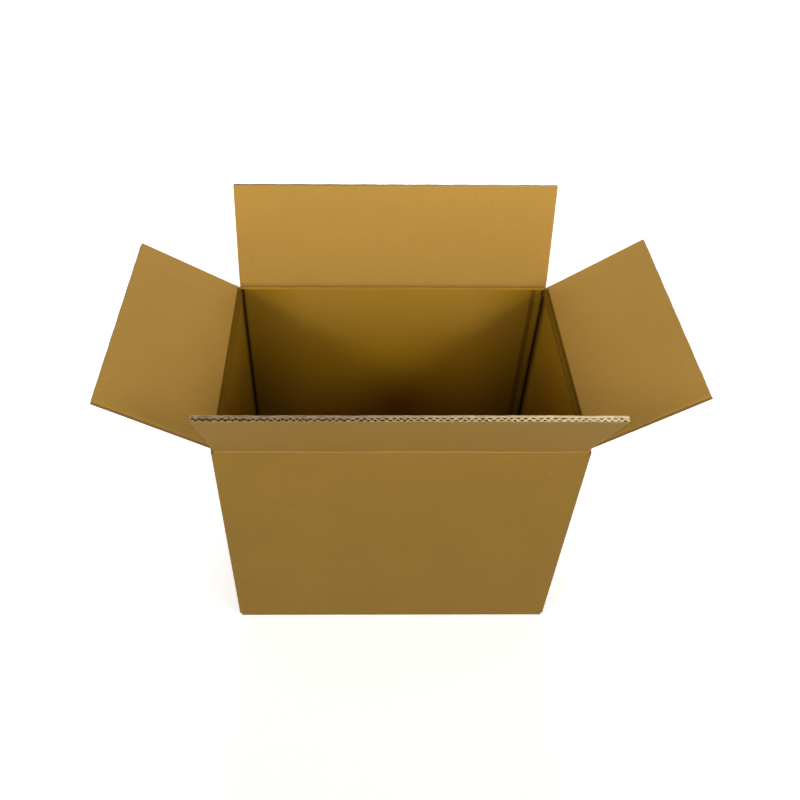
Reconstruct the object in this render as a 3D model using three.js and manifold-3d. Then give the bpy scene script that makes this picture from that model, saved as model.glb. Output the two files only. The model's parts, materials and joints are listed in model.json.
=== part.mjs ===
// A regular slotted carton of double-wall corrugated board, standing open.
// Millimetres, +Z up. The origin is the centre of the underside, and the front faces -Y.
// One folded sheet makes the four walls, the closed bottom flaps and the glued side joint.
// The four top flaps turn on their creases, and their free edges show the open flutes.
import * as THREE from "three";
import { mergeVertices } from "three/addons/utils/BufferGeometryUtils.js";
import Module from "manifold-3d";

const wasm = await Module();
wasm.setup();

// Inside size of the carton
const INNER_LENGTH = 457;
const INNER_WIDTH = 305;
const INNER_HEIGHT = 380;

// Board section, from the outside in: liner, C flute, liner, B flute, liner
const LINER = 0.35;
const MEDIUM = 0.3;
const C_FLUTE = { height: 3.65, pitch: 7.8 };
const B_FLUTE = { height: 2.3, pitch: 6.35 };
const BOARD = 3 * LINER + C_FLUTE.height + B_FLUTE.height;

// Flaps: the same length all round, as a slotted blank is cut
const FLAP_LENGTH = 156;
const SLOT_INSET = 4; // from the outer corner to a long flap's side edge
const SIDE_CLEARANCE = 0.6; // between a short flap's side edge and the wall it passes
const LAYER_GAP = 0.4; // between a closed short flap and the long flap over it
const FLUTE_DEPTH = 40; // how far in from a free edge the flutes are open

// Degrees that each top flap leans out from upright
const LEAN = { front: 27.5, rear: 15, left: 58, right: 53.5 };

// Creases
const AXIS_OUT = 0.15; // the hinge line lies this far outside the board's outer face
const MITRE_GAP = 0.1; // from the hinge line to each mitred end, measured along the board
const FOLD_RADIUS = 4; // outside of a folded edge
const VALLEY_DEPTH = 3.2; // crushed groove on the inside of a folded edge
const VALLEY_REACH = 2; // how far the groove opens on to each panel

// Side joint: a lap on the right wall, glued to the inside of the rear wall
const LAP_WIDTH = 15;
const LAP_THICKNESS = 5; // pressed thinner than the board
const LAP_CHAMFER = 13;
const LAP_END_CLEARANCE = 1; // to the short flaps, above and below
const CUT_EDGE_INSET = 1.5; // the rear wall's cut edge, in from the right wall's face

// Tape over the bottom seam, pressed flush into the soft outer liner
const TAPE_WIDTH = 48;
const TAPE_THICKNESS = 0.1;
const TAPE_GAP = 0.05;
const TAPE_RISE = 50;

const ARC_STEPS = 4; // facets in a quarter turn

// Worked-out sizes
const LENGTH = INNER_LENGTH + 2 * BOARD;
const WIDTH = INNER_WIDTH + 2 * BOARD;
const UNDERSIDE = 0;
const LONG_FLOOR = UNDERSIDE + BOARD; // top of the long bottom flaps
const SHORT_UNDERSIDE = LONG_FLOOR + LAYER_GAP;
const FLOOR = SHORT_UNDERSIDE + BOARD;
const SHORT_CREASE = FLOOR + INNER_HEIGHT + BOARD; // height of the hinge lines on the end walls
const LONG_CREASE = SHORT_CREASE + BOARD + LAYER_GAP; // and on the front and rear walls
const SHORT_INSET = BOARD + SIDE_CLEARANCE;
const TIP = AXIS_OUT + MITRE_GAP; // from a hinge line to the tips of the two mitres

const kraft = new THREE.MeshStandardMaterial({ color: 0xb08a45, roughness: 0.9, metalness: 0 });
const kraftInside = new THREE.MeshStandardMaterial({ color: 0xa9803f, roughness: 0.92, metalness: 0 });
const buffTape = new THREE.MeshStandardMaterial({ color: 0xa8834a, roughness: 0.25, metalness: 0 });

// A closed geometry as a solid, for joining and cutting.
function solidOf(geometry) {
  const bare = new THREE.BufferGeometry();
  const source = geometry.index ? geometry.toNonIndexed() : geometry;
  bare.setAttribute("position", source.getAttribute("position"));
  const merged = mergeVertices(bare, 1e-4);
  const mesh = new wasm.Mesh({
    numProp: 3,
    vertProperties: new Float32Array(merged.attributes.position.array),
    triVerts: new Uint32Array(merged.index.array),
  });
  return new wasm.Manifold(mesh);
}

// A solid back as a geometry.
function geometryOf(solid) {
  const mesh = solid.getMesh();
  const positions = new Float32Array(mesh.numVert * 3);
  for (let i = 0; i < mesh.numVert; i++) {
    positions.set(mesh.vertProperties.subarray(i * mesh.numProp, i * mesh.numProp + 3), i * 3);
  }
  const geometry = new THREE.BufferGeometry();
  geometry.setAttribute("position", new THREE.BufferAttribute(positions, 3));
  geometry.setIndex(new THREE.BufferAttribute(mesh.triVerts, 1));
  geometry.computeVertexNormals();
  return geometry;
}

const union = (solids) => solids.reduce((all, next) => all.add(next));

function shapeOf(points) {
  return new THREE.Shape(points.map(([a, b]) => new THREE.Vector2(a, b)));
}

// Points of a quarter circle about (ca, cb), from one angle in degrees to another.
function arc(ca, cb, radius, from, to) {
  const points = [];
  for (let i = 0; i <= ARC_STEPS; i++) {
    const angle = THREE.MathUtils.degToRad(from + ((to - from) * i) / ARC_STEPS);
    points.push([ca + radius * Math.cos(angle), cb + radius * Math.sin(angle)]);
  }
  return points;
}

// A plan outline, raised from z0 to z1.
function raised(shapes, z0, z1) {
  const geometry = new THREE.ExtrudeGeometry(shapes, { depth: z1 - z0, bevelEnabled: false });
  return geometry.translate(0, 0, z0);
}

// A section drawn as (inward, up), run along the panel's own X between x0 and x1.
function alongPanel(points, x0, x1) {
  const geometry = new THREE.ExtrudeGeometry(shapeOf(points), { depth: x1 - x0, bevelEnabled: false });
  const axes = new THREE.Matrix4().makeBasis(
    new THREE.Vector3(0, 1, 0),
    new THREE.Vector3(0, 0, 1),
    new THREE.Vector3(1, 0, 0),
  );
  return geometry.applyMatrix4(axes).translate(x0, 0, 0);
}

// Each side's own frame has +Y pointing inward, with the outer face of its panel at Y = 0.
const SIDES = {
  front: { turn: 0, offset: [0, -WIDTH / 2], length: LENGTH, long: true },
  rear: { turn: Math.PI, offset: [0, WIDTH / 2], length: LENGTH, long: true },
  left: { turn: -Math.PI / 2, offset: [-LENGTH / 2, 0], length: WIDTH, long: false },
  right: { turn: Math.PI / 2, offset: [LENGTH / 2, 0], length: WIDTH, long: false },
};

function sideMatrix({ turn, offset }) {
  return new THREE.Matrix4().makeRotationZ(turn).setPosition(offset[0], offset[1], 0);
}

// A wall with its closed bottom flap: mitred at the top crease, folded at the bottom.
function wallWithBottomFlap(side) {
  const underside = side.long ? UNDERSIDE : SHORT_UNDERSIDE;
  const crease = side.long ? LONG_CREASE : SHORT_CREASE;
  const inset = side.long ? SLOT_INSET : SHORT_INSET;
  const top = underside + BOARD;
  const section = [
    [0, crease - TIP],
    ...arc(FOLD_RADIUS, underside + FOLD_RADIUS, FOLD_RADIUS, 180, 270),
    [FLAP_LENGTH, underside],
    [FLAP_LENGTH, top],
    [BOARD + VALLEY_REACH, top],
    [BOARD - VALLEY_DEPTH, top - VALLEY_DEPTH],
    [BOARD, top + VALLEY_REACH],
    [BOARD, crease - TIP - BOARD],
  ];
  const half = side.length / 2 - inset;
  const geometry = alongPanel(section, -half, half).applyMatrix4(sideMatrix(side));
  return solidOf(geometry);
}

// The upright folds at the corners run between these heights, clear of the slots.
const CORNER_BOTTOM = SHORT_UNDERSIDE + LAYER_GAP;
const CORNER_TOP = SHORT_CREASE - TIP - LAYER_GAP;
const MITRE_BOTTOM = CORNER_TOP - BOARD;
const CORNER_ARM = SHORT_INSET + BOARD;

// A folded corner, drawn from the outer corner with both walls running in the positive directions.
function foldedCorner() {
  return shapeOf([
    ...arc(FOLD_RADIUS, FOLD_RADIUS, FOLD_RADIUS, 180, 270),
    [CORNER_ARM, 0],
    [CORNER_ARM, BOARD],
    [BOARD, BOARD],
    [BOARD, CORNER_ARM],
    [0, CORNER_ARM],
  ]);
}


// Its top, where the slot beside the short flap ends the end wall's arm.
function slottedCorner() {
  return shapeOf([
    ...arc(FOLD_RADIUS, FOLD_RADIUS, FOLD_RADIUS, 180, 270),
    [CORNER_ARM, 0],
    [CORNER_ARM, BOARD],
    [0, BOARD],
  ]);
}

// The crushed groove inside a folded corner.
function cornerValley() {
  const tip = BOARD - VALLEY_DEPTH;
  const mouth = BOARD + VALLEY_REACH;
  return shapeOf([
    [tip, tip],
    [mouth, BOARD],
    [mouth, mouth],
    [BOARD, mouth],
  ]);
}

// The glued corner: the right wall folds into the lap, and the rear wall's cut edge stands over it.
function lapFold() {
  return shapeOf([
    ...arc(FOLD_RADIUS, BOARD + FOLD_RADIUS, FOLD_RADIUS, 180, 270),
    [CORNER_ARM, BOARD],
    [CORNER_ARM, BOARD + LAP_THICKNESS],
    [BOARD, BOARD + LAP_THICKNESS],
    [BOARD, CORNER_ARM + BOARD],
    [0, CORNER_ARM + BOARD],
  ]);
}

function rearCutEdge() {
  return shapeOf([
    [CUT_EDGE_INSET, 0],
    [CORNER_ARM, 0],
    [CORNER_ARM, BOARD],
    [CUT_EDGE_INSET, BOARD],
  ]);
}

function lapValley() {
  const mouthAlong = BOARD + VALLEY_REACH;
  const mouthUp = BOARD + LAP_THICKNESS + VALLEY_REACH;
  return shapeOf([
    [BOARD - VALLEY_DEPTH, BOARD + LAP_THICKNESS - VALLEY_DEPTH],
    [mouthAlong, BOARD + LAP_THICKNESS],
    [mouthAlong, mouthUp],
    [BOARD, mouthUp],
  ]);
}

// The lap itself, flat on the rear wall's inner face, its free corners cut at 45 degrees.
function lap() {
  const bottom = FLOOR + LAP_END_CLEARANCE;
  const top = SHORT_CREASE - BOARD - TIP - LAP_END_CLEARANCE;
  const free = BOARD + LAP_WIDTH;
  const outline = shapeOf([
    [BOARD, bottom],
    [free, bottom + LAP_CHAMFER],
    [free, top - LAP_CHAMFER],
    [BOARD, top],
  ]);
  const root = BOARD / 2;
  const geometry = new THREE.ExtrudeGeometry(outline, { depth: LAP_THICKNESS + root, bevelEnabled: false });
  const axes = new THREE.Matrix4().makeBasis(
    new THREE.Vector3(1, 0, 0),
    new THREE.Vector3(0, 0, 1),
    new THREE.Vector3(0, -1, 0),
  );
  return geometry.applyMatrix4(axes).translate(0, BOARD + LAP_THICKNESS, 0);
}

// Puts what was drawn from an outer corner at one of the four corners; signs are those of X and Y.
function atCorner(geometry, signX, signY) {
  const place = new THREE.Matrix4()
    .makeScale(-signX, -signY, 1)
    .setPosition((signX * LENGTH) / 2, (signY * WIDTH) / 2, 0);
  const placed = geometry.applyMatrix4(place);
  if (signX * signY > 0) return placed;
  // A single mirror turns the faces inside out, so their corners are put back in order.
  const bare = placed.index ? placed.toNonIndexed() : placed;
  const { array } = bare.getAttribute("position");
  for (let i = 0; i < array.length; i += 9) {
    for (let k = 0; k < 3; k++) {
      [array[i + 3 + k], array[i + 6 + k]] = [array[i + 6 + k], array[i + 3 + k]];
    }
  }
  return bare;
}

function cartonBody() {
  const walls = Object.values(SIDES).map(wallWithBottomFlap);
  const folds = [];
  const valleys = [];
  for (const [signX, signY] of [[-1, -1], [1, -1], [-1, 1]]) {
    for (const fold of [
      raised(foldedCorner(), CORNER_BOTTOM, MITRE_BOTTOM),
      raised(slottedCorner(), MITRE_BOTTOM - BOARD, CORNER_TOP),
    ]) {
      folds.push(solidOf(atCorner(fold, signX, signY)));
    }
    const valley = raised(cornerValley(), FLOOR, LONG_CREASE);
    valleys.push(solidOf(atCorner(valley, signX, signY)));
  }
  folds.push(solidOf(atCorner(raised(lapFold(), CORNER_BOTTOM, MITRE_BOTTOM), 1, 1)));
  folds.push(solidOf(atCorner(raised(rearCutEdge(), CORNER_BOTTOM, CORNER_TOP), 1, 1)));
  folds.push(solidOf(atCorner(lap(), 1, 1)));
  valleys.push(solidOf(atCorner(raised(lapValley(), FLOOR, LONG_CREASE), 1, 1)));
  return union([...walls, ...folds]).subtract(union([...valleys, tapePress()]));
}

// Where the tape's own thickness is pressed into the long bottom flaps.
function tapePress() {
  const depth = TAPE_THICKNESS + TAPE_GAP;
  const press = new THREE.BoxGeometry(LENGTH, TAPE_WIDTH + 2 * TAPE_GAP, 2 * depth);
  return solidOf(press.translate(0, 0, UNDERSIDE));
}

// The open cells of one flute row, as triangles between its two liners, across a panel's width.
function fluteCells(flute, outerFace, halfWidth) {
  const inner = outerFace + flute.height;
  const slope = Math.atan2(flute.height, flute.pitch / 2);
  const wall = MEDIUM / 2 / Math.sin(slope);
  const apex = flute.height * (1 - (2 * wall) / flute.pitch);
  const halfBase = flute.pitch / 2 - wall;
  const cells = [];
  const last = Math.floor((2 * halfWidth) / flute.pitch) * 2;
  for (let i = -last; i <= last; i++) {
    const middle = (i * flute.pitch) / 2;
    if (Math.abs(middle) + halfBase + MEDIUM > halfWidth) continue;
    const standing = i % 2 === 0;
    const base = standing ? outerFace : inner;
    const tip = standing ? outerFace + apex : inner - apex;
    const corners = [
      [middle - halfBase, base],
      [middle + halfBase, base],
      [middle, tip],
    ];
    cells.push(shapeOf(standing ? corners : corners.reverse()));
  }
  return cells;
}

// A top flap, upright, with its hinge line along X through the origin.
function topFlap(side) {
  const inset = side.long ? SLOT_INSET : SHORT_INSET;
  const half = side.length / 2 - inset;
  const outer = AXIS_OUT;
  const inner = AXIS_OUT + BOARD;
  const section = [
    [outer, TIP],
    [inner, TIP + BOARD],
    [inner, FLAP_LENGTH],
    [outer, FLAP_LENGTH],
  ];
  const plate = solidOf(alongPanel(section, -half, half));
  const cStart = outer + LINER;
  const bStart = cStart + C_FLUTE.height + LINER;
  const cells = [...fluteCells(C_FLUTE, cStart, half), ...fluteCells(B_FLUTE, bStart, half)];
  const channels = raised(cells, FLAP_LENGTH - FLUTE_DEPTH, FLAP_LENGTH + BOARD);
  return plate.subtract(solidOf(channels));
}

// Tape along the bottom seam and up both end walls, as one bent film.
function seamTape() {
  const face = LENGTH / 2 + TAPE_GAP;
  const bend = SLOT_INSET + TAPE_GAP;
  const outerBend = bend + TAPE_THICKNESS;
  const middle = face - bend;
  const section = [
    [-face - TAPE_THICKNESS, TAPE_RISE],
    ...arc(-middle, outerBend, outerBend, 180, 270),
    ...arc(middle, outerBend, outerBend, 270, 360),
    [face + TAPE_THICKNESS, TAPE_RISE],
    [face, TAPE_RISE],
    ...arc(middle, outerBend, bend, 360, 270),
    ...arc(-middle, outerBend, bend, 270, 180),
    [-face, TAPE_RISE],
  ];
  const geometry = new THREE.ExtrudeGeometry(shapeOf(section), { depth: TAPE_WIDTH, bevelEnabled: false });
  return geometry.rotateX(Math.PI / 2).translate(0, TAPE_WIDTH / 2, 0);
}

const carton = new THREE.Group();

const body = new THREE.Mesh(geometryOf(cartonBody()), kraft);
body.name = "carton_body";
carton.add(body);

for (const [name, side] of Object.entries(SIDES)) {
  const panel = new THREE.Group();
  panel.applyMatrix4(sideMatrix(side));
  const hinge = new THREE.Group();
  hinge.position.set(0, -AXIS_OUT, side.long ? LONG_CREASE : SHORT_CREASE);
  hinge.rotation.x = THREE.MathUtils.degToRad(LEAN[name]);
  const flap = new THREE.Mesh(geometryOf(topFlap(side)), kraftInside);
  flap.name = `${name}_top_flap`;
  hinge.add(flap);
  panel.add(hinge);
  carton.add(panel);
}

const tape = new THREE.Mesh(seamTape(), buffTape);
tape.name = "bottom_tape";
carton.add(tape);

export default carton;
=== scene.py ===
"""Looks for an open carton: fluted flap boards, crushed creases, kraft liners and tape."""
import json
import math

import bmesh
import bpy
import numpy as np
from mathutils import Matrix, Vector


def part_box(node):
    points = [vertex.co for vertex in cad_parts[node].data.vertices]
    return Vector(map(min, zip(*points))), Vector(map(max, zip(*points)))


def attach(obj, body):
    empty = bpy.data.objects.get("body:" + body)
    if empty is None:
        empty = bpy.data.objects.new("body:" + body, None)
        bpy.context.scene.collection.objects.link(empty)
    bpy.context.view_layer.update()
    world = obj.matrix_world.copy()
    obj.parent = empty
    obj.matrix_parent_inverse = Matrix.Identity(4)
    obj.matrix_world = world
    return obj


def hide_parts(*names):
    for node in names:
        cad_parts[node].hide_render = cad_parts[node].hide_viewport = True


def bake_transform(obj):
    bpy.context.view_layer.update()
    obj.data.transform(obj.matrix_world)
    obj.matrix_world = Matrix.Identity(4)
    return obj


MM = 0.001

# Board section; the papers are drawn thicker than they are, as fuzzy as a cut edge looks
LINER = 0.65 * MM
C_MEDIUM = 1.6 * MM
B_MEDIUM = 1.1 * MM
C_HEIGHT = 3.65 * MM
C_PITCH = 7.8 * MM
B_PITCH = 6.35 * MM

# Side joint: the lap of the right wall, glued to the inside of the rear wall
BOARD = 7.0 * MM
LAP_WIDTH = 15 * MM
LAP_THICKNESS = 5 * MM

# Camera, fitted to the photograph's outline; the picture is 800 x 800 pixels
PICTURE = 800
FOCAL_PIXELS = 819.1
PRINCIPAL_POINT = (363.1, 307.8)
SENSOR = 36.0
NEAREST_SEEN = 0.05
CAMERA_PLACE = Vector((-0.0585, -0.7918, 1.2078))
CAMERA_PITCH = math.radians(41.76)
CAMERA_YAW = math.radians(0.80)
CAMERA_ROLL = math.radians(0.66)

UP = Vector((0, 0, 1))

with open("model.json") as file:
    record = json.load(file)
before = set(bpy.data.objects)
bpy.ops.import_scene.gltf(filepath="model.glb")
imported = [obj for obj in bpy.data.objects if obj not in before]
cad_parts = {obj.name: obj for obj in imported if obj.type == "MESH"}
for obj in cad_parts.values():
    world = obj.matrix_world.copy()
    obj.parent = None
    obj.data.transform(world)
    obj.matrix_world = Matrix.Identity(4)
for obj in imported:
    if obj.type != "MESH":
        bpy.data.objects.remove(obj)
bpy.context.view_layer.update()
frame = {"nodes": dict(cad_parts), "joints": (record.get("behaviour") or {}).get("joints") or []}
body_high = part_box("carton_body")[1]
joints = {joint["name"]: joint for joint in frame["joints"]}


# Node helpers

def new_material(name):
    material = bpy.data.materials.new(name)
    material.use_nodes = True
    tree = material.node_tree
    shader = tree.nodes["Principled BSDF"]
    return material, tree, shader


def add(tree, kind, **values):
    """A node of that kind; values named like an input are set there, the others on the node."""
    node = tree.nodes.new(kind)
    for name, value in values.items():
        if name in node.inputs:
            node.inputs[name].default_value = value
        else:
            setattr(node, name, value)
    return node


def math_node(tree, operation, first, second=None, third=None):
    node = tree.nodes.new("ShaderNodeMath")
    node.operation = operation
    for socket, value in zip(node.inputs, (first, second, third)):
        if value is None:
            continue
        if isinstance(value, (int, float)):
            socket.default_value = value
        else:
            tree.links.new(value, socket)
    return node.outputs["Value"]


def object_point(tree, stretch=(1, 1, 1)):
    """The point on the piece at rest, in metres, stretched along each axis."""
    coordinates = tree.nodes.new("ShaderNodeTexCoord")
    mapping = tree.nodes.new("ShaderNodeMapping")
    mapping.inputs["Scale"].default_value = stretch
    tree.links.new(coordinates.outputs["Object"], mapping.inputs["Vector"])
    return mapping.outputs["Vector"]


def noise(tree, point, scale, detail, roughness):
    node = add(tree, "ShaderNodeTexNoise", Scale=scale, Detail=detail, Roughness=roughness)
    tree.links.new(point, node.inputs["Vector"])
    return node.outputs["Fac"]


def ramp(tree, factor, stops):
    node = tree.nodes.new("ShaderNodeValToRGB")
    elements = node.color_ramp.elements
    while len(elements) < len(stops):
        elements.new(0.5)
    for element, (position, colour) in zip(elements, stops):
        element.position = position
        element.color = (*colour, 1)
    tree.links.new(factor, node.inputs["Fac"])
    return node.outputs["Color"]


def mix_colour(tree, factor, first, second, blend="MIX"):
    node = tree.nodes.new("ShaderNodeMix")
    node.data_type = "RGBA"
    node.blend_type = blend
    for socket, value in ((node.inputs[0], factor), (node.inputs[6], first), (node.inputs[7], second)):
        if isinstance(value, (int, float)):
            socket.default_value = value
        elif isinstance(value, tuple):
            socket.default_value = (*value, 1)
        else:
            tree.links.new(value, socket)
    return node.outputs[2]


def grey(tree, factor, low, high):
    """A factor from 0 to 1 as a grey between low and high."""
    node = add(tree, "ShaderNodeMapRange")
    node.inputs["To Min"].default_value = low
    node.inputs["To Max"].default_value = high
    tree.links.new(factor, node.inputs["Value"])
    return node.outputs["Result"]


def smooth_range(tree, value, start, end, low, high):
    """Low at the start, high at the end, and a smooth step between them."""
    node = add(tree, "ShaderNodeMapRange", interpolation_type="SMOOTHSTEP")
    node.inputs["From Min"].default_value = start
    node.inputs["From Max"].default_value = end
    node.inputs["To Min"].default_value = low
    node.inputs["To Max"].default_value = high
    tree.links.new(value, node.inputs["Value"])
    return node.outputs["Result"]


def add_bump(tree, shader, height, strength, distance):
    """Bump from a height, which is in metres where the distance is 1."""
    bump = add(tree, "ShaderNodeBump", Strength=strength, Distance=distance)
    tree.links.new(height, bump.inputs["Height"])
    tree.links.new(bump.outputs["Normal"], shader.inputs["Normal"])


# Materials

INNER_KRAFT = (0.445, 0.254, 0.049)
SHADED_WALL_KRAFT = (0.420, 0.228, 0.024) # painted shade: inside the walls, a little darker and deeper in tone than the flaps' inner liner
DEEP_SHADE_KRAFT = (0.420, 0.228, 0.009) # painted shade: lower down inside and on its side walls, with less blue
OUTER_KRAFT = (0.238, 0.133, 0.019)
SHADE_AT_FOLD_KRAFT = (0.225, 0.126, 0.0195) # painted shade on the outside where a flap starts, a little darker than the outer liner
WORN_HIGHLIGHT_KRAFT = (0.350, 0.206, 0.042) # rubbed pale and a painted highlight, on the ridge under a flap
SHADED_SHARE = 0.92 # the wall's side of a long crease
VALLEY_SHARE = 0.44 # the wall's side of a short crease, deep in shade
GROOVE_SHADE_SHARE = 0.62 # painted shade: a dark line along the groove of a long crease


def darker(colour, share):
    return tuple(share * value for value in colour)


LINERS = {
    "inner": INNER_KRAFT,
    "outer": OUTER_KRAFT,
    "folded": SHADE_AT_FOLD_KRAFT,
    "worn_highlight": WORN_HIGHLIGHT_KRAFT,
    "shaded": darker(SHADED_WALL_KRAFT, SHADED_SHARE),
    "valley": darker(DEEP_SHADE_KRAFT, VALLEY_SHARE),
    "groove_shade": darker(SHADED_WALL_KRAFT, GROOVE_SHADE_SHARE),
}


FACES_SIDEWAYS = 0.6 # a face whose normal has more X than this is on an end wall


def across_flutes(tree, panel):
    """Position across the flutes, in metres: X on the long panels and Y on the short ones."""
    coordinates = tree.nodes.new("ShaderNodeTexCoord")
    parts = tree.nodes.new("ShaderNodeSeparateXYZ")
    tree.links.new(coordinates.outputs["Object"], parts.inputs["Vector"])
    if panel == "long":
        return parts.outputs["X"]
    if panel == "short":
        return parts.outputs["Y"]
    geometry = tree.nodes.new("ShaderNodeNewGeometry")
    normal = tree.nodes.new("ShaderNodeSeparateXYZ")
    tree.links.new(geometry.outputs["Normal"], normal.inputs["Vector"])
    sideways = math_node(tree, "ABSOLUTE", normal.outputs["X"])
    on_end_wall = math_node(tree, "GREATER_THAN", sideways, FACES_SIDEWAYS)
    difference = math_node(tree, "SUBTRACT", parts.outputs["Y"], parts.outputs["X"])
    return math_node(tree, "MULTIPLY_ADD", difference, on_end_wall, parts.outputs["X"])


def washboard(tree, panel, pitch):
    """A wave from -1 to 1 that follows the flutes under the liner."""
    across = across_flutes(tree, panel)
    turns = math_node(tree, "MULTIPLY", across, 2 * math.pi / pitch)
    return math_node(tree, "SINE", turns)


def outside_mask(tree):
    """1 on the faces of the walls and the underside that face outwards, 0 inside."""
    coordinates = tree.nodes.new("ShaderNodeTexCoord")
    parts = tree.nodes.new("ShaderNodeSeparateXYZ")
    tree.links.new(coordinates.outputs["Object"], parts.inputs["Vector"])
    depth = BOARD / 2
    limits = (("X", body_high[0] - depth), ("Y", body_high[1] - depth))
    mask = math_node(tree, "LESS_THAN", parts.outputs["Z"], depth)
    for axis, limit in limits:
        away = math_node(tree, "ABSOLUTE", parts.outputs[axis])
        beyond = math_node(tree, "GREATER_THAN", away, limit)
        mask = math_node(tree, "MAXIMUM", mask, beyond)
    return mask


FOLD_SHADE_REACH = 6.0 * MM
FOLD_SHADE_ON_SIDES = 0.2 # the shade reaches five times as far along the side walls
FOLD_SHADE = 0.16
LAP_SHADE = 0.5
WALL_SHADE_REACH = 110 * MM
WALL_SHADE = 0.62
SIDE_WALL_LIGHT_LIFT = 1.2 # painted light: the side walls themselves are a little lighter than the corners beside them
# painted light: the right side wall is lighter again
RIGHT_WALL_LIGHT_LIFT = 1.2
DEEP_START = 375 * MM # heights between which the inside turns to its deeper painted shade
DEEP_END = 250 * MM


def inside_shade(tree):
    """Painted shade: 1 in the open, darker towards the side walls and in the upright folds and the
    lap's edge; painted light lifts the side walls, the right one more.
    """
    inside_x = body_high[0] - BOARD
    inside_y = body_high[1] - BOARD
    lines = (
        (-inside_x, -inside_y, FOLD_SHADE),
        (inside_x, -inside_y, FOLD_SHADE),
        (-inside_x, inside_y, FOLD_SHADE),
        (inside_x, inside_y - LAP_THICKNESS, FOLD_SHADE),
        (inside_x - LAP_WIDTH, inside_y - LAP_THICKNESS / 2, LAP_SHADE),
    )
    flat = object_point(tree, (1, FOLD_SHADE_ON_SIDES, 0))
    parts = tree.nodes.new("ShaderNodeSeparateXYZ")
    tree.links.new(flat, parts.inputs["Vector"])
    sideways = math_node(tree, "ABSOLUTE", parts.outputs["X"])
    shade = smooth_range(tree, sideways, inside_x - WALL_SHADE_REACH, inside_x, 1.0, WALL_SHADE)
    for x, y, darkest in lines:
        distance = add(tree, "ShaderNodeVectorMath", operation="DISTANCE")
        tree.links.new(flat, distance.inputs[0])
        distance.inputs[1].default_value = (x, y * FOLD_SHADE_ON_SIDES, 0)
        line = smooth_range(tree, distance.outputs["Value"], 0, FOLD_SHADE_REACH, darkest, 1.0)
        shade = math_node(tree, "MULTIPLY", shade, line)
    # painted light on the side walls, more on the right
    for place, lift in ((sideways, SIDE_WALL_LIGHT_LIFT), (parts.outputs["X"], RIGHT_WALL_LIGHT_LIFT)):
        on_wall = math_node(tree, "GREATER_THAN", place, inside_x - MM)
        lifted = math_node(tree, "MULTIPLY_ADD", on_wall, lift - 1, 1)
        shade = math_node(tree, "MULTIPLY", shade, lifted)
    return shade


def shaded_inside_colour(tree):
    """The inside's colour with painted shade, deeper lower down and towards the side walls."""
    parts = tree.nodes.new("ShaderNodeSeparateXYZ")
    tree.links.new(object_point(tree), parts.inputs["Vector"])
    sideways = math_node(tree, "ABSOLUTE", parts.outputs["X"])
    inside_x = body_high[0] - BOARD
    low = smooth_range(tree, parts.outputs["Z"], DEEP_END, DEEP_START, 1, 0)
    aside = smooth_range(tree, sideways, inside_x - WALL_SHADE_REACH, inside_x, 0, 1)
    return mix_colour(tree, math_node(tree, "MAXIMUM", low, aside), SHADED_WALL_KRAFT, DEEP_SHADE_KRAFT)


# Each noise is (turns in a metre, detail, roughness)
CLOUDS = (11, 3.0, 0.55)
MOTTLE = (260, 3.0, 0.6)
FIBRES = (1500, 2.0, 0.6)
FIBRE_STRETCH = (0.22, 0.22, 1.0)
CLOUD_TONES = (0.93, 1.07)
MOTTLE_TONES = (0.93, 1.07)
FIBRE_TONES = (0.92, 1.08)
WASHBOARD_TONE = 0.008
FLECK_SCALE = 95
FLECK_STRETCH = (1.0, 1.0, 0.55)
FLECK_SIZE = 0.1
DARK_FLECKS_ABOVE = 0.90
PALE_FLECKS_BELOW = 0.10
DARK_FLECK = (0.16, 0.08, 0.025)
PALE_FLECK = (0.72, 0.50, 0.20)
DARK_FLECK_STRENGTH = 0.22
PALE_FLECK_STRENGTH = 0.12
KRAFT_ROUGHNESS = (0.72, 0.86)
KRAFT_SPECULAR = 0.15
KRAFT_BUMP = 0.8
WASHBOARD_HEIGHT = 0.022 * MM
MOTTLE_HEIGHT = 0.05 * MM
FIBRE_HEIGHT = 0.03 * MM


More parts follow.
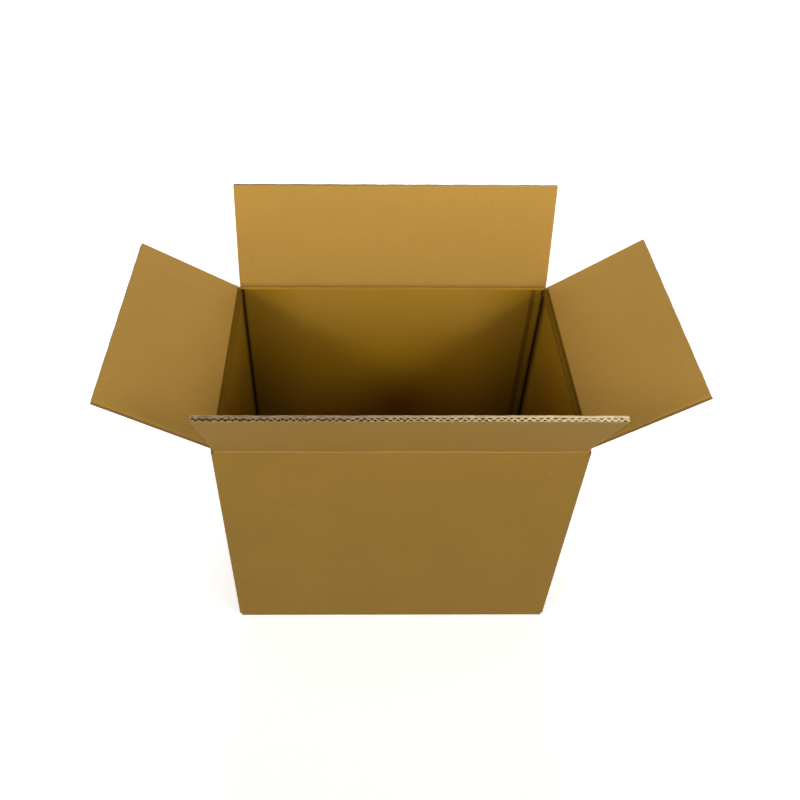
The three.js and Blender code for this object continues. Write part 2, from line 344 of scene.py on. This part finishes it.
def kraft(name, panel, liner):
    """Kraft liner: soft clouds, fine fibres, flecks, and the faint washboard of the flutes."""
    material, tree, shader = new_material(name)
    if liner == "both":
        # the inside of the walls carries painted shade, in its colour and in its darkening; the outside
        # is the outer liner
        inside = mix_colour(tree, 1.0, shaded_inside_colour(tree), inside_shade(tree), "MULTIPLY")
        base = mix_colour(tree, outside_mask(tree), inside, OUTER_KRAFT)
    else:
        base = LINERS[liner]
    point = object_point(tree)
    clouds = noise(tree, point, *CLOUDS)
    mottle = noise(tree, point, *MOTTLE)
    fibres = noise(tree, object_point(tree, FIBRE_STRETCH), *FIBRES)
    for factor, tones in ((clouds, CLOUD_TONES), (mottle, MOTTLE_TONES), (fibres, FIBRE_TONES)):
        base = mix_colour(tree, 1.0, base, grey(tree, factor, *tones), "MULTIPLY")
    waves = washboard(tree, panel, C_PITCH)
    band = math_node(tree, "MULTIPLY_ADD", waves, WASHBOARD_TONE, 1.0)
    base = mix_colour(tree, 1.0, base, band, "MULTIPLY")
    flecks = add(tree, "ShaderNodeTexVoronoi", Scale=FLECK_SCALE)
    tree.links.new(object_point(tree, FLECK_STRETCH), flecks.inputs["Vector"])
    tone = tree.nodes.new("ShaderNodeSeparateColor")
    tree.links.new(flecks.outputs["Color"], tone.inputs["Color"])
    near = math_node(tree, "LESS_THAN", flecks.outputs["Distance"], FLECK_SIZE)
    kinds_of_fleck = (
        ("GREATER_THAN", DARK_FLECKS_ABOVE, DARK_FLECK_STRENGTH, DARK_FLECK),
        ("LESS_THAN", PALE_FLECKS_BELOW, PALE_FLECK_STRENGTH, PALE_FLECK),
    )
    for test, limit, strength, colour in kinds_of_fleck:
        chosen = math_node(tree, test, tone.outputs["Red"], limit)
        fleck = math_node(tree, "MULTIPLY", near, chosen)
        base = mix_colour(tree, math_node(tree, "MULTIPLY", fleck, strength), base, colour)
    tree.links.new(base, shader.inputs["Base Color"])
    tree.links.new(grey(tree, mottle, *KRAFT_ROUGHNESS), shader.inputs["Roughness"])
    shader.inputs["Specular IOR Level"].default_value = KRAFT_SPECULAR
    height = math_node(tree, "MULTIPLY", mottle, MOTTLE_HEIGHT)
    height = math_node(tree, "MULTIPLY_ADD", waves, WASHBOARD_HEIGHT, height)
    height = math_node(tree, "MULTIPLY_ADD", fibres, FIBRE_HEIGHT, height)
    add_bump(tree, shader, height, KRAFT_BUMP, 1.0)
    return material


CUT_LIGHT_ENDS = (-0.12, 0.26) # along X; painted light: the cut edges are paler to the right and darker to the left
CUT_LIGHT_TONES = (0.58, 1.26)
CUT_FUZZ = (900, 3.0, 0.6)
CUT_PATCHES = (60, 2.0, 0.5)
CUT_PATCH_TONES = (0.8, 1.2)
CUT_ROUGHNESS = 0.92
CUT_BUMP = (0.9, 0.15 * MM)
CUT_STOPS = ((0.25, (0.36, 0.255, 0.12)), (0.55, (0.58, 0.45, 0.26)), (0.8, (0.74, 0.61, 0.40)))
FLUTE_FIBRES = (600, 3.0, 0.6)
FLUTE_ROUGHNESS = 0.9
FLUTE_BUMP = (0.5, 0.1 * MM)
ROUGH_PAPER_SPECULAR = 0.2
FLUTE_STOPS = ((0.3, (0.20, 0.115, 0.04)), (0.7, (0.32, 0.195, 0.075)))
TAPE_STREAKS = (420, 2.0, 0.5)
TAPE_STRETCH = (0.05, 1, 0.05)
TAPE_BUBBLES = (120, 3.0, 0.6)
TAPE_TONES = (0.9, 1.1)
TAPE_SPECULAR = 0.3
TAPE_BUMP = (0.35, 0.2 * MM)
TAPE_STOPS = ((0.3, (0.30, 0.175, 0.062)), (0.7, (0.36, 0.215, 0.08)))
TAPE_ROUGHNESS = (0.28, 0.42)


def cut_board():
    """The paler, fuzzy paper where a knife has cut the board, with painted light paler to the right."""
    material, tree, shader = new_material("cut_board")
    point = object_point(tree)
    fuzz = noise(tree, point, *CUT_FUZZ)
    patches = noise(tree, point, *CUT_PATCHES)
    base = ramp(tree, fuzz, CUT_STOPS)
    base = mix_colour(tree, 1.0, base, grey(tree, patches, *CUT_PATCH_TONES), "MULTIPLY")
    parts = tree.nodes.new("ShaderNodeSeparateXYZ")
    tree.links.new(point, parts.inputs["Vector"])
    # painted light: paler to the right, darker to the left
    cut_light = smooth_range(tree, parts.outputs["X"], *CUT_LIGHT_ENDS, *CUT_LIGHT_TONES)
    base = mix_colour(tree, 1.0, base, cut_light, "MULTIPLY")
    tree.links.new(base, shader.inputs["Base Color"])
    shader.inputs["Roughness"].default_value = CUT_ROUGHNESS
    shader.inputs["Specular IOR Level"].default_value = ROUGH_PAPER_SPECULAR
    add_bump(tree, shader, fuzz, *CUT_BUMP)
    return material


def fluting():
    """The corrugated layers inside the board: a darker, greyer paper than the liners."""
    material, tree, shader = new_material("fluting")
    point = object_point(tree)
    fibres = noise(tree, point, *FLUTE_FIBRES)
    base = ramp(tree, fibres, FLUTE_STOPS)
    tree.links.new(base, shader.inputs["Base Color"])
    shader.inputs["Roughness"].default_value = FLUTE_ROUGHNESS
    shader.inputs["Specular IOR Level"].default_value = ROUGH_PAPER_SPECULAR
    add_bump(tree, shader, fibres, *FLUTE_BUMP)
    return material


def buff_tape():
    """Buff packing tape: glossy film with fine streaks along its length and small trapped bubbles."""
    material, tree, shader = new_material("buff_tape")
    streaks = noise(tree, object_point(tree, TAPE_STRETCH), *TAPE_STREAKS)
    bubbles = noise(tree, object_point(tree), *TAPE_BUBBLES)
    base = ramp(tree, streaks, TAPE_STOPS)
    base = mix_colour(tree, 1.0, base, grey(tree, bubbles, *TAPE_TONES), "MULTIPLY")
    tree.links.new(base, shader.inputs["Base Color"])
    tree.links.new(grey(tree, bubbles, *TAPE_ROUGHNESS), shader.inputs["Roughness"])
    shader.inputs["Specular IOR Level"].default_value = TAPE_SPECULAR
    add_bump(tree, shader, bubbles, *TAPE_BUMP)
    return material


kraft_walls = kraft("kraft_walls", "any", "both")
kraft_faces = {
    (panel, liner): kraft(f"kraft_{panel}_{liner}", panel, liner)
    for panel in ("long", "short") for liner in LINERS
}
cut_edge = cut_board()
flute_paper = fluting()
tape_film = buff_tape()


# Mesh helpers

def wobble(values, *parts):
    """A smooth, repeatable unevenness: a sum of sines, each given as (height, wavelength, phase)."""
    return sum(
        height * np.sin(values * (2 * math.pi / wavelength) + phase)
        for height, wavelength, phase in parts
    )


def slab(lower, upper):
    """Points, quads and kinds of quad of a closed slab between two grids of points."""
    rows, columns = lower.shape[:2]
    points = np.concatenate([lower.reshape(-1, 3), upper.reshape(-1, 3)])
    offset = rows * columns
    index = np.arange(offset).reshape(rows, columns)
    a, b = index[:-1, :-1].ravel(), index[:-1, 1:].ravel()
    c, d = index[1:, 1:].ravel(), index[1:, :-1].ravel()
    faces = [np.stack([a, d, c, b], 1), np.stack([a, b, c, d], 1) + offset]
    kinds = ["outer"] * len(a) + ["inner"] * len(a)
    borders = (
        (index[0, :-1], index[0, 1:], "root"),
        (index[-1, 1:], index[-1, :-1], "free"),
        (index[1:, 0], index[:-1, 0], "side"),
        (index[:-1, -1], index[1:, -1], "side"),
    )
    for first, second, kind in borders:
        faces.append(np.stack([first, second, second + offset, first + offset], 1))
        kinds += [kind] * len(first)
    return points, np.concatenate(faces).tolist(), kinds


def mesh_piece(name, parts, materials, smooth_angle):
    """One object from several (points, faces, material index for each face)."""
    points, polygons, slots = [], [], []
    offset = 0
    for part_points, faces, indices in parts:
        points.append(part_points)
        polygons += [[corner + offset for corner in face] for face in faces]
        slots += indices
        offset += len(part_points)
    mesh = bpy.data.meshes.new(name)
    mesh.from_pydata(np.concatenate(points).tolist(), [], polygons)
    for material in materials:
        mesh.materials.append(material)
    mesh.polygons.foreach_set("material_index", slots)
    mesh.polygons.foreach_set("use_smooth", [True] * len(polygons))
    shape = bmesh.new()
    shape.from_mesh(mesh)
    bmesh.ops.recalc_face_normals(shape, faces=shape.faces)
    shape.to_mesh(mesh)
    shape.free()
    mesh.set_sharp_from_angle(angle=smooth_angle)
    piece = bpy.data.objects.new(name, mesh)
    bpy.context.scene.collection.objects.link(piece)
    return piece


# Flaps

SEEDS = {"front": 0.4, "rear": 1.7, "left": 2.9, "right": 4.1}


class Panel:
    """A top flap's own axes at rest, read from its joint and its node."""

    def __init__(self, side, seed):
        self.side = side
        self.seed = seed
        self.node = f"{side}_top_flap"
        self.body = f"{side}_flap"
        joint = joints[f"{side}_crease"]
        self.hinge = Vector(joint["pos_m"])
        self.along = Vector(joint["axis"])
        self.inward = UP.cross(self.along)
        self.lean = math.radians(-joint["range_deg"][0] - 90)
        self.flap_up = UP * math.cos(self.lean) - self.inward * math.sin(self.lean)
        self.flap_in = self.inward * math.cos(self.lean) + UP * math.sin(self.lean)
        reach = [vertex.co - self.hinge for vertex in frame["nodes"][self.node].data.vertices]
        depths = [point.dot(self.flap_in) for point in reach]
        rises = [point.dot(self.flap_up) for point in reach]
        self.half = max(abs(point.dot(self.along)) for point in reach)
        self.length = max(rises)
        self.tip = min(rises)
        self.outer = min(depths)
        self.board = max(depths) - min(depths)
        self.kind = "long" if abs(self.along.x) > 0.5 else "short"

    def at(self, along, through, out):
        """Points from (along the crease, in from the outer face, out from the hinge line)."""
        steps = np.broadcast_arrays(along, through + self.outer, out)
        axes = (self.along, self.flap_in, self.flap_up)
        offsets = sum(step[..., None] * np.array(axis) for step, axis in zip(steps, axes))
        return offsets + np.array(self.hinge)


LINER_STATIONS = np.array((0, 0.05, 0.2, 0.4, 0.6, 0.8, 0.9, 0.94, 0.97, 0.99, 1.0))
FLUTE_STATIONS = np.array((0, 0.2, 0.4, 0.6, 0.8, 0.9, 0.97, 1.0))
LINER_COLUMNS = 240
FLAP_SMOOTH_ANGLE = math.radians(40)
POINTS_PER_FLUTE = 12
FLUTE_FLATNESS = 1.15 # above 1 the tops of the waves are flat where they are glued
SIDE_CRUSH = 0.24 # share of the thickness that the slotting knife takes at a flap's side edges
SIDE_CRUSH_REACH = 4.5 * MM
BRUISE = 0.06
BOW = 0.15 * MM
RAGGED = 0.16 * MM
FUZZ_SPREAD = 0.38 # the cut is cleaner at one end of a flap than at the other
PEEL_REACH = 13 * MM
PEEL_LIFT = 0.2 * MM
PEEL_CURVE = 1.6
INNER_FACE, OUTER_FACE, CUT_FACE, FLUTE_FACE = range(4)
LINER_SLOTS = {
    "outer": INNER_FACE, "inner": INNER_FACE, "root": INNER_FACE, "free": CUT_FACE, "side": OUTER_FACE,
}
OUTER_LINER_SLOTS = {**LINER_SLOTS, "outer": OUTER_FACE, "root": OUTER_FACE}
FLUTE_SLOTS = {**LINER_SLOTS, "outer": FLUTE_FACE, "inner": FLUTE_FACE, "root": FLUTE_FACE}


def crushed(panel, along, through):
    """Depths in the board, drawn to its middle where a knife or a knock has crushed it."""
    edge = np.clip((panel.half - np.abs(along)) / SIDE_CRUSH_REACH, 0, 1)
    seed = panel.seed
    knocks = wobble(along, (1, 0.083, seed), (0.8, 0.031, 2 * seed), (0.5, 0.19, seed))
    squeeze = (1 - SIDE_CRUSH * (1 - edge) ** 2) * (1 - BRUISE * np.clip(knocks, 0, 1))
    middle = panel.board / 2
    return middle + (through - middle) * squeeze


def paper(panel, along, low, high, ragged, stations, slots, peel=0.0):
    """One layer of a flap, between two depths given across its width."""
    share = stations[:, None]
    bow = share ** 2 * wobble(along, (BOW, 0.37, panel.seed), (0.4 * BOW, 0.13, 2 * panel.seed))
    grids = []
    for depth in (low, high):
        depth = crushed(panel, along, depth)
        start = panel.tip + depth
        out = start + (panel.length + ragged - start) * share
        to_corner = np.hypot(along + panel.half, panel.length - out)
        lift = peel * np.clip(1 - to_corner / PEEL_REACH, 0, 1) ** PEEL_CURVE
        grids.append(panel.at(along, depth + bow + lift, out))
    points, faces, kinds = slab(*grids)
    return points, faces, [slots[kind] for kind in kinds]


def flap_board(panel):
    """A flap as it is made: three liners with a C flute and a finer B flute glued between them."""
    b_height = panel.board - 3 * LINER - C_HEIGHT
    seed = panel.seed
    parts = []
    along = panel.half * np.sin(np.linspace(-math.pi / 2, math.pi / 2, LINER_COLUMNS))
    layers = (
        (0, OUTER_LINER_SLOTS, 0),
        (LINER + C_HEIGHT, LINER_SLOTS, 0),
        (2 * LINER + C_HEIGHT + b_height, LINER_SLOTS, PEEL_LIFT if panel.side == "front" else 0),
    )
    for depth, slots, peel in layers:
        low = np.full_like(along, depth)
        waves = ((RAGGED, 0.047, seed + depth / MM), (RAGGED / 2, 0.013, 3 * seed))
        ragged = wobble(along, *waves) - RAGGED
        parts.append(paper(panel, along, low, low + LINER, ragged, LINER_STATIONS, slots, peel))
    flutes = (
        (C_PITCH, LINER, C_HEIGHT, C_MEDIUM),
        (B_PITCH, 2 * LINER + C_HEIGHT, b_height, B_MEDIUM),
    )
    for pitch, depth, height, thickness in flutes:
        columns = POINTS_PER_FLUTE * round(2 * panel.half / pitch) + 1
        along = np.linspace(-panel.half, panel.half, columns)
        drift = wobble(along, (0.12 * pitch, 0.11, seed), (0.08 * pitch, 0.037, 2 * seed))
        wave = np.clip(FLUTE_FLATNESS * np.sin((along + drift) * (2 * math.pi / pitch)), -1, 1)
        spread = wobble(along, (FUZZ_SPREAD, 0.95, seed - SEEDS["front"]), (0.1, 0.021, seed))
        fuzz = thickness * (1 + spread)
        low = depth + (height - fuzz) * (wave + 1) / 2
        ragged = wobble(along, (RAGGED, 0.029, seed + pitch / MM), (RAGGED, 0.009, seed)) - 1.5 * RAGGED
        parts.append(paper(panel, along, low, low + fuzz, ragged, FLUTE_STATIONS, FLUTE_SLOTS))
    liners = [kraft_faces[panel.kind, liner] for liner in ("inner", "outer")]
    materials = liners + [cut_edge, flute_paper]
    piece = mesh_piece(f"{panel.side}_flap_board", parts, materials, FLAP_SMOOTH_ANGLE)
    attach(piece, panel.body)
    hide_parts(panel.node)


# Creases

GROOVE_DEPTH = {"long": 1.9 * MM, "short": 1.7 * MM}
GROOVE_DROP = {"long": 3.6 * MM, "short": 8.0 * MM} # below the fold, on the wall
GROOVE_ON_WALL = {"long": 2.6 * MM, "short": 6.0 * MM}
GROOVE_ON_FLAP = {"long": 8.5 * MM, "short": 7.5 * MM}
SHORT_FLAP_RUN = 5.0 * MM # a short flap's face runs on past its edge, down to the fold
BEAD_RADIUS = 0.5 * MM
RIDGE_HEIGHT = 0.6 * MM
RIDGE_DROP = 2.6 * MM
RIDGE_REACH = 1.7 * MM
RIDGE_END = 1.3 # reaches below the ridge at which the fold goes into the wall
SHADE_AT_FOLD_UNTIL = -0.75 # reaches from the ridge's top: above the first it has painted shade, and between the two it is rubbed pale with a painted highlight
RUBBED_HIGHLIGHT_UNTIL = 0.1
SKIN = 0.3 * MM
SKIN_START = 2.0 * MM # up the flap, where the fold comes out of its face
SKIN_FULL = 1.2 * MM
BEAD_STEPS = 4
CREASE_END_INSET = 0.4 * MM
GROOVE_SHADE_REACH = 0.8 * MM # painted shade: a dark line along the bottom of the long creases' groove
INSIDE_STEPS = 28
RIDGE_STEPS = 10
CREASE_COLUMNS = 90
CREASE_SMOOTH_ANGLE = math.radians(50)


def inside_of_crease(panel):
    """Points (inward, up) up the wall, through the groove and on to the flap, and the tone of each.

    The points are measured from the hinge line.
    """
    inner = panel.outer + panel.board
    edge = panel.tip + panel.board
    cosine, sine = math.cos(panel.lean), math.sin(panel.lean)
    wall_edge = np.array([inner, -edge])
    flap_edge = np.array([inner * cosine - edge * sine, inner * sine + edge * cosine])
    if panel.kind == "long":
        fold = np.array([inner, -inner * math.tan(panel.lean / 2)])
    else:
        fold = flap_edge - SHORT_FLAP_RUN * np.array([-sine, cosine])
    lower = wall_edge - fold
    upper = flap_edge - fold
    points = []
    tones = []
    for place in np.linspace(-np.linalg.norm(lower), np.linalg.norm(upper), INSIDE_STEPS + 1):
        arm = lower if place < 0 else upper
        point = fold + arm / np.linalg.norm(arm) * abs(place)
        away = place + GROOVE_DROP[panel.kind]
        reach = (GROOVE_ON_FLAP if away > 0 else GROOVE_ON_WALL)[panel.kind]
        closeness = max(0.0, 1 - abs(away) / reach)
        depth = GROOVE_DEPTH[panel.kind] * closeness ** 2 * (3 - 2 * closeness)
        points.append(point * (1 - depth / np.linalg.norm(point)))
        if panel.kind == "short":
            tones.append("valley" if place < 0 else "inner")
        elif abs(away) < GROOVE_SHADE_REACH:
            tones.append("groove_shade")
        else:
            tones.append("shaded" if away < 0 else "inner")
    return points, tones, wall_edge, flap_edge


def outside_of_crease(panel):
    """Points (inward, up) down the flap, round the hinge line and over a ridge, and their tones."""
    cosine, sine = math.cos(panel.lean), math.sin(panel.lean)
    points = []
    for inward, up in ((panel.outer + SKIN, SKIN_START), (-SKIN / 2, SKIN_FULL)):
        points.append(np.array([inward * cosine - up * sine, inward * sine + up * cosine]))
    first_angle = math.pi / 2 + panel.lean + 0.5
    last_angle = math.pi + 0.3
    for angle in np.linspace(first_angle, last_angle, BEAD_STEPS):
        points.append(BEAD_RADIUS * np.array([math.cos(angle), math.sin(angle)]))
    # painted shade on the flap's root and round the bead
    tones = ["folded"] * len(points)
    for drop in np.linspace(RIDGE_DROP - RIDGE_REACH, RIDGE_DROP + RIDGE_REACH, RIDGE_STEPS + 1):
        bump = (1 + math.cos(math.pi * (drop - RIDGE_DROP) / RIDGE_REACH)) / 2
        points.append(np.array([-0.4 * SKIN - RIDGE_HEIGHT * bump, -drop]))
        past_top = (drop - RIDGE_DROP) / RIDGE_REACH
        # painted shade above the ridge, then rubbed pale with a painted highlight over its top, then
        # the outer liner
        if past_top < SHADE_AT_FOLD_UNTIL:
            tones.append("folded")
        elif past_top < RUBBED_HIGHLIGHT_UNTIL:
            tones.append("worn_highlight")
        else:
            tones.append("outer")
    points.append(np.array([panel.outer + SKIN, -RIDGE_DROP - RIDGE_END * RIDGE_REACH]))
    tones.append("outer")
    return points, tones


def crease(panel):
    """The crushed board that joins a wall to its flap."""
    inside, inside_tones, wall_edge, flap_edge = inside_of_crease(panel)
    outside, outside_tones = outside_of_crease(panel)
    section = np.array(inside + outside)
    half = panel.half - CREASE_END_INSET
    along = np.linspace(-half, half, CREASE_COLUMNS)
    swell = 1 + wobble(along, (0.10, 0.12, panel.seed), (0.07, 0.043, panel.seed))
    sag = wobble(along, (0.3 * MM, 0.21, panel.seed), (0.15 * MM, 0.07, 2 * panel.seed))
    inward, up = section[None, :, 0], section[None, :, 1]
    on_outside = np.arange(len(section)) >= len(inside) + 2
    inwards = inward * np.where(on_outside, swell[:, None], 1)
    ups = up + np.where(on_outside, sag[:, None], 0) * (up < -BEAD_RADIUS)
    axes = (np.array(panel.along), np.array(panel.inward), np.array(UP))
    steps = np.broadcast_arrays(along[:, None], inwards, ups)
    rings = sum(step[..., None] * axis for step, axis in zip(steps, axes)) + np.array(panel.hinge)
    count, size = rings.shape[:2]
    index = np.arange(count * size).reshape(count, size)
    after = np.roll(index, -1, axis=1)
    quads = np.stack([index[:-1], index[1:], after[1:], after[:-1]], 2)
    liners = list(LINERS)
    kinds = [liners.index(tone) for tone in inside_tones + outside_tones]
    slots = np.broadcast_to(kinds, quads.shape[:2])
    middles = [panel.hinge + panel.along * place for place in (-half, half)]
    fans = [[count * size, after[0, k], index[0, k]] for k in range(size)]
    fans += [[count * size + 1, index[-1, k], after[-1, k]] for k in range(size)]
    points = np.concatenate([rings.reshape(-1, 3), np.array([list(middle) for middle in middles])])
    faces = quads.reshape(-1, 4).tolist() + fans
    kinds = slots.ravel().tolist() + [len(liners)] * len(fans)
    materials = [kraft_faces[panel.kind, liner] for liner in liners] + [cut_edge]
    parts = [(points, faces, kinds)]
    piece = mesh_piece(f"{panel.side}_crease_fold", parts, materials, CREASE_SMOOTH_ANGLE)
    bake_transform(piece)


for side, seed in SEEDS.items():
    panel = Panel(side, seed)
    flap_board(panel)
    crease(panel)


# Walls and tape

EDGE_SOFTNESS = 0.5 * MM
SOFTENED_ANGLE = math.radians(40)


def dress(node, material, bevel):
    """Gives a CAD node its finish and, where bevel isn't 0, takes the sharpness off its edges."""
    piece = frame["nodes"][node]
    piece.data.materials.clear()
    piece.data.materials.append(material)
    if bevel:
        softened = piece.modifiers.new("soft_edges", "BEVEL")
        softened.width = bevel
        softened.segments = 2
        softened.limit_method = "ANGLE"
        softened.angle_limit = SOFTENED_ANGLE
        softened.harden_normals = True


dress("carton_body", kraft_walls, EDGE_SOFTNESS)
dress("bottom_tape", tape_film, 0)


# Floor, light and camera

FLOOR_REACH = 6.0
FLOOR_DROP = 0.3 * MM
FLOOR_WHITE = (0.92, 0.92, 0.92, 1)
FLOOR_GLOW = 0.5
FAR_FLOOR_GLOW = 0.8
FLOOR_GLOW_RISES = (1.5, 4.0) # metres from the carton
HORIZON_LIGHT = 0.85
SKY_LIGHT = 0.1
HORIZON_TOP = math.sin(math.radians(13))
SKY_START = math.sin(math.radians(24))
KEY_SPREAD = math.radians(80)
WIDE = math.radians(180)
OVER = (0.05, 0.5, 0.67) # the front lights aim over the carton, so that they fade down its front
# name, place, target, size in metres, watts, spread
LIGHTS = (
    ("front", (0.1, -1.9, 1.6), OVER, 0.9, 3.0, KEY_SPREAD),
    ("front_left", (-1.7, -1.3, 1.5), OVER, 0.7, 4.4, KEY_SPREAD),
    ("front_right", (1.6, -1.3, 1.55), OVER, 0.7, 5.0, KEY_SPREAD),
    ("top", (0, 0, 2.2), (0, 0, 0), 1.2, 3, WIDE),
    ("rear", (0, 1.6, 1.9), (0, 0, 0.3), 1.0, 8, WIDE),
    ("backdrop", (0, 2.7, 1.8), (0, 2.7, 0), 1.2, 40, WIDE),
)


def stage_floor():
    mesh = bpy.data.meshes.new("floor")
    turns = ((-1, -1), (1, -1), (1, 1), (-1, 1))
    corners = [(x * FLOOR_REACH, y * FLOOR_REACH, -FLOOR_DROP) for x, y in turns]
    mesh.from_pydata(corners, [], [(0, 1, 2, 3)])
    material, tree, shader = new_material("floor_white")
    shader.inputs["Base Color"].default_value = FLOOR_WHITE
    shader.inputs["Emission Color"].default_value = (1, 1, 1, 1)
    distance = add(tree, "ShaderNodeVectorMath", operation="LENGTH")
    tree.links.new(object_point(tree), distance.inputs[0])
    away = distance.outputs["Value"]
    glow = smooth_range(tree, away, *FLOOR_GLOW_RISES, FLOOR_GLOW, FAR_FLOOR_GLOW)
    tree.links.new(glow, shader.inputs["Emission Strength"])
    shader.inputs["Roughness"].default_value = 0.95
    shader.inputs["Specular IOR Level"].default_value = 0.1
    mesh.materials.append(material)
    floor = bpy.data.objects.new("floor", mesh)
    bpy.context.scene.collection.objects.link(floor)


def area_light(name, place, target, size, power, spread):
    light = bpy.data.lights.new(name, "AREA")
    light.shape = "DISK"
    light.size = size
    light.energy = power
    light.spread = spread
    lamp = bpy.data.objects.new(name, light)
    lamp.location = place
    lamp.rotation_mode = "QUATERNION"
    lamp.rotation_quaternion = (Vector(target) - Vector(place)).to_track_quat("-Z", "Y")
    bpy.context.scene.collection.objects.link(lamp)


def sky():
    """A white wall all round the floor, under a dim ceiling."""
    world = bpy.data.worlds.new("studio")
    world.use_nodes = True
    tree = world.node_tree
    coordinates = tree.nodes.new("ShaderNodeTexCoord")
    parts = tree.nodes.new("ShaderNodeSeparateXYZ")
    tree.links.new(coordinates.outputs["Generated"], parts.inputs["Vector"])
    stops = [(HORIZON_TOP, (HORIZON_LIGHT,) * 3), (SKY_START, (SKY_LIGHT,) * 3)]
    glow = ramp(tree, parts.outputs["Z"], stops)
    tree.links.new(glow, tree.nodes["Background"].inputs["Color"])
    tree.nodes["Background"].inputs["Strength"].default_value = 1.0
    bpy.context.scene.world = world


def studio():
    """Soft lights: three from the front, one above, one behind, and one over the far floor."""
    bpy.context.scene.view_settings.view_transform = "Standard"
    for light in LIGHTS:
        area_light(*light)


def camera():
    data = bpy.data.cameras.new("camera")
    data.sensor_width = SENSOR
    data.lens = SENSOR * FOCAL_PIXELS / PICTURE
    data.shift_x = (PICTURE / 2 - PRINCIPAL_POINT[0]) / PICTURE
    data.shift_y = (PRINCIPAL_POINT[1] - PICTURE / 2) / PICTURE
    data.clip_start = NEAREST_SEEN
    eye = bpy.data.objects.new("camera", data)
    bpy.context.scene.collection.objects.link(eye)
    turn = Matrix.Rotation(-CAMERA_YAW, 4, "Z")
    turn @= Matrix.Rotation(math.pi / 2 - CAMERA_PITCH, 4, "X")
    turn @= Matrix.Rotation(CAMERA_ROLL, 4, "Z")
    eye.matrix_world = Matrix.Translation(CAMERA_PLACE) @ turn
    bpy.context.scene.camera = eye


stage_floor()
sky()
studio()
camera()
